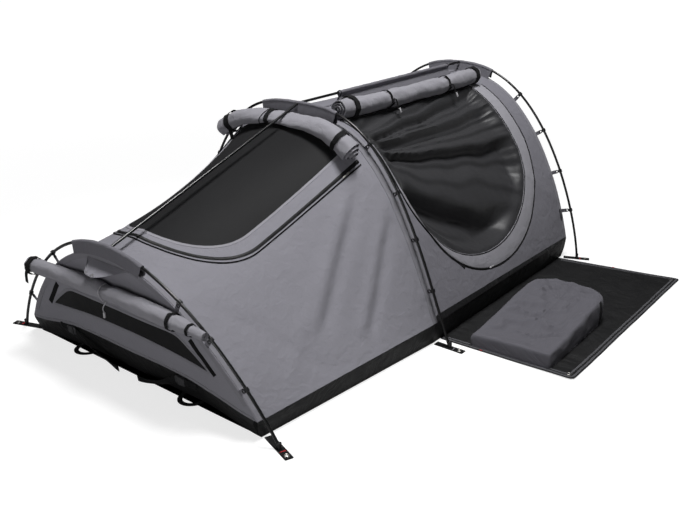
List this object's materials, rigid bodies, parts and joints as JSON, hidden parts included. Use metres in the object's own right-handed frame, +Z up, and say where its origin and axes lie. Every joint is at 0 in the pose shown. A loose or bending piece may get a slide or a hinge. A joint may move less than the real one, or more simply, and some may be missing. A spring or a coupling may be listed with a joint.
{
  "type": "swag bedroll",
  "caption": "Low three-arch canvas camping swag on a black bucket floor, with rolled-up flaps, mesh door and window, ground mat and gear bag.",
  "frame": {"origin": "middle of the floor's underside between the foot and head arches' feet, on the ground", "axes": "+X from the foot end to the head end, -Y the side with the door and the ground mat, +Z up"},
  "size_m": [2.3665, 2.0539, 0.9276],
  "materials": {
    "canvas": "mid grey ripstop canvas",
    "coated_fabric": "black PVC-coated fabric",
    "insect_mesh": "black insect mesh",
    "pole_lacquer": "satin black",
    "moulded_black": "moulded black",
    "webbing": "woven black webbing",
    "mattress_cover": "grey cotton cover over foam"
  },
  "bodies": {
    "shelter": {"tub_floor": "coated_fabric", "mattress": "mattress_cover", "foot_canopy": "canvas", "head_canopy": "canvas", "foot_end_wall": "canvas", "head_end_wall": "canvas", "top_window_mesh": "insect_mesh", "door_mesh": "insect_mesh", "foot_window_mesh": "insect_mesh", "foot_arch_pole": "pole_lacquer", "mid_arch_pole": "pole_lacquer", "head_arch_pole": "pole_lacquer", "foot_arch_sleeve": "canvas", "mid_arch_sleeve": "canvas", "head_arch_sleeve": "canvas", "ridge_pole_foot": "pole_lacquer", "ridge_pole_head": "pole_lacquer", "ridge_sleeve": "canvas", "top_window_roll": "canvas", "door_roll": "canvas", "foot_window_roll": "canvas", "buckle_socket_far": "moulded_black", "buckle_socket_near": "moulded_black", "anchor_tab_foot_near": "webbing", "anchor_tab_foot_far": "webbing", "anchor_tab_mid_near": "webbing", "anchor_tab_mid_far": "webbing", "anchor_tab_head_near": "webbing", "anchor_tab_head_far": "webbing", "foot_clip_near_1": "moulded_black", "foot_clip_near_2": "moulded_black", "foot_clip_near_3": "moulded_black", "foot_clip_far_1": "moulded_black", "foot_clip_far_2": "moulded_black", "foot_clip_far_3": "moulded_black", "mid_clip_near_1": "moulded_black", "mid_clip_near_2": "moulded_black", "mid_clip_near_3": "moulded_black", "mid_clip_near_4": "moulded_black", "mid_clip_far_1": "moulded_black", "mid_clip_far_2": "moulded_black", "mid_clip_far_3": "moulded_black", "mid_clip_far_4": "moulded_black", "head_clip_near_1": "moulded_black", "head_clip_near_2": "moulded_black", "head_clip_near_3": "moulded_black", "head_clip_near_4": "moulded_black", "head_clip_far_1": "moulded_black", "head_clip_far_2": "moulded_black", "head_clip_far_3": "moulded_black", "head_clip_far_4": "moulded_black"},
    "vent_hood": {"vent_hood": "canvas"},
    "buckle_plug_far": {"buckle_plug_far": "moulded_black"},
    "buckle_plug_near": {"buckle_plug_near": "moulded_black"},
    "carry_handle_far": {"carry_handle_far": "webbing"},
    "carry_handle_near": {"carry_handle_near": "webbing"},
    "top_zip_slider": {"top_zip_slider": "moulded_black"},
    "door_zip_slider": {"door_zip_slider": "moulded_black"},
    "ground_mat": {"ground_mat": "coated_fabric"},
    "gear_bag": {"gear_bag": "canvas"}
  },
  "joints": [
    {"name": "vent_hood_lift", "type": "hinge", "parent": "shelter", "child": "vent_hood", "pos_m": [-1.17676, 0, 0.46951], "axis": [0, 1, 0], "range_deg": [0, 45]},
    {"name": "buckle_release_far", "type": "slide", "parent": "shelter", "child": "buckle_plug_far", "axis": [0, -1, 0], "range_m": [0, 0.025]},
    {"name": "buckle_release_near", "type": "slide", "parent": "shelter", "child": "buckle_plug_near", "axis": [0, 1, 0], "range_m": [0, 0.025]},
    {"name": "carry_handle_lift_far", "type": "hinge", "parent": "shelter", "child": "carry_handle_far", "pos_m": [-1.06843, 0.335, 0.0035], "axis": [0, 1, 0], "range_deg": [0, 45]},
    {"name": "carry_handle_lift_near", "type": "hinge", "parent": "shelter", "child": "carry_handle_near", "pos_m": [-1.06289, -0.265, 0.0035], "axis": [0, 1, 0], "range_deg": [0, 45]},
    {"name": "top_zip_travel", "type": "slide", "parent": "shelter", "child": "top_zip_slider", "axis": [-0.8862, 0.1401, -0.4417], "range_m": [0, 0.06]},
    {"name": "door_zip_travel", "type": "slide", "parent": "shelter", "child": "door_zip_slider", "axis": [0.9996, 0.0263, 0.0077], "range_m": [0, 0.12]},
    {"name": "ground_mat_fold", "type": "hinge", "parent": "shelter", "child": "ground_mat", "pos_m": [-0.12499, -0.67263, 0.002], "axis": [-0.9995, -0.0312, 0], "range_deg": [0, 35]},
    {"name": "gear_bag_lift", "type": "slide", "parent": "ground_mat", "child": "gear_bag", "axis": [0, 0, 1], "range_m": [0, 0.25]}
  ]
}
